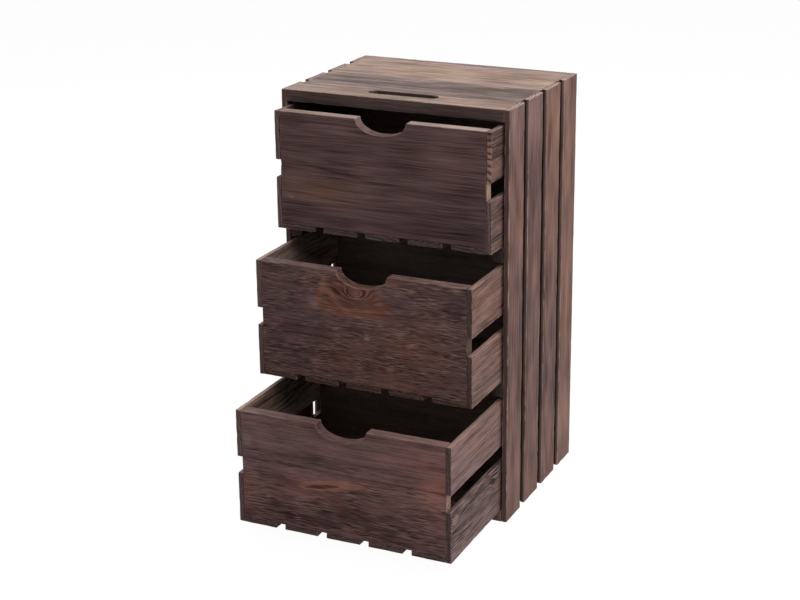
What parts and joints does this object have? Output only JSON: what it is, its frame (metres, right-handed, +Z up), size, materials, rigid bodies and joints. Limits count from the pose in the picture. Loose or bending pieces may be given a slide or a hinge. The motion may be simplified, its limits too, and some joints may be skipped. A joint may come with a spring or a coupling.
{
  "type": "chest of drawers",
  "caption": "Tall narrow crate-style chest of torched wood slats, with open-topped drawers that slide on wooden runners, finger scoops in their fronts and a hand slot in the top.",
  "frame": {"origin": "on the floor, in the middle of the carcase's footprint", "axes": "+X to the right as seen from the front, +Y to the back, +Z up; the drawers open along -Y"},
  "size_m": [0.36, 0.458, 0.63],
  "materials": {
    "top_panel_wood": "torched, brushed and unvarnished, matt",
    "panel_wood": "torched, brushed and unvarnished, matt",
    "side_slat_wood": "torched, brushed and unvarnished, matt",
    "back_slat_wood": "torched, brushed and unvarnished, matt",
    "runner_wood": "torched and sawn, matt",
    "upper_front_wood": "torched and brushed, matt",
    "middle_front_wood": "torched and brushed, matt",
    "lower_front_wood": "torched and brushed, matt",
    "drawer_side_wood": "torched and brushed, matt",
    "drawer_back_wood": "torched and brushed, matt",
    "drawer_bottom_wood": "torched and brushed, matt",
    "brads": "dull drawn wire"
  },
  "bodies": {
    "carcase": {"top_panel": "top_panel_wood", "bottom_panel": "panel_wood", "left_slat_1": "side_slat_wood", "left_slat_2": "side_slat_wood", "left_slat_3": "side_slat_wood", "left_slat_4": "side_slat_wood", "right_slat_1": "side_slat_wood", "right_slat_2": "side_slat_wood", "right_slat_3": "side_slat_wood", "right_slat_4": "side_slat_wood", "back_slat_1": "back_slat_wood", "back_slat_2": "back_slat_wood", "back_slat_3": "back_slat_wood", "back_slat_4": "back_slat_wood", "back_slat_5": "back_slat_wood", "lower_left_runner": "runner_wood", "lower_right_runner": "runner_wood", "upper_left_runner": "runner_wood", "upper_right_runner": "runner_wood", "carcase_brads": "brads"},
    "lower_drawer": {"lower_drawer_front_board": "lower_front_wood", "lower_drawer_back_board": "drawer_back_wood", "lower_drawer_lower_left_side": "drawer_side_wood", "lower_drawer_upper_left_side": "drawer_side_wood", "lower_drawer_lower_right_side": "drawer_side_wood", "lower_drawer_upper_right_side": "drawer_side_wood", "lower_drawer_bottom_slat_1": "drawer_bottom_wood", "lower_drawer_bottom_slat_2": "drawer_bottom_wood", "lower_drawer_bottom_slat_3": "drawer_bottom_wood", "lower_drawer_bottom_slat_4": "drawer_bottom_wood", "lower_drawer_bottom_slat_5": "drawer_bottom_wood", "lower_drawer_brads": "brads"},
    "middle_drawer": {"middle_drawer_front_board": "middle_front_wood", "middle_drawer_back_board": "drawer_back_wood", "middle_drawer_lower_left_side": "drawer_side_wood", "middle_drawer_upper_left_side": "drawer_side_wood", "middle_drawer_lower_right_side": "drawer_side_wood", "middle_drawer_upper_right_side": "drawer_side_wood", "middle_drawer_bottom_slat_1": "drawer_bottom_wood", "middle_drawer_bottom_slat_2": "drawer_bottom_wood", "middle_drawer_bottom_slat_3": "drawer_bottom_wood", "middle_drawer_bottom_slat_4": "drawer_bottom_wood", "middle_drawer_bottom_slat_5": "drawer_bottom_wood", "middle_drawer_brads": "brads"},
    "upper_drawer": {"upper_drawer_front_board": "upper_front_wood", "upper_drawer_back_board": "drawer_back_wood", "upper_drawer_lower_left_side": "drawer_side_wood", "upper_drawer_upper_left_side": "drawer_side_wood", "upper_drawer_lower_right_side": "drawer_side_wood", "upper_drawer_upper_right_side": "drawer_side_wood", "upper_drawer_bottom_slat_1": "drawer_bottom_wood", "upper_drawer_bottom_slat_2": "drawer_bottom_wood", "upper_drawer_bottom_slat_3": "drawer_bottom_wood", "upper_drawer_bottom_slat_4": "drawer_bottom_wood", "upper_drawer_bottom_slat_5": "drawer_bottom_wood", "upper_drawer_brads": "brads"}
  },
  "joints": [
    {"name": "lower_drawer_slide", "type": "slide", "parent": "carcase", "child": "lower_drawer", "axis": [0, -1, 0], "range_m": [-0.182, 0.018]},
    {"name": "middle_drawer_slide", "type": "slide", "parent": "carcase", "child": "middle_drawer", "axis": [0, -1, 0], "range_m": [-0.109, 0.091]},
    {"name": "upper_drawer_slide", "type": "slide", "parent": "carcase", "child": "upper_drawer", "axis": [0, -1, 0], "range_m": [-0.041, 0.159]}
  ]
}
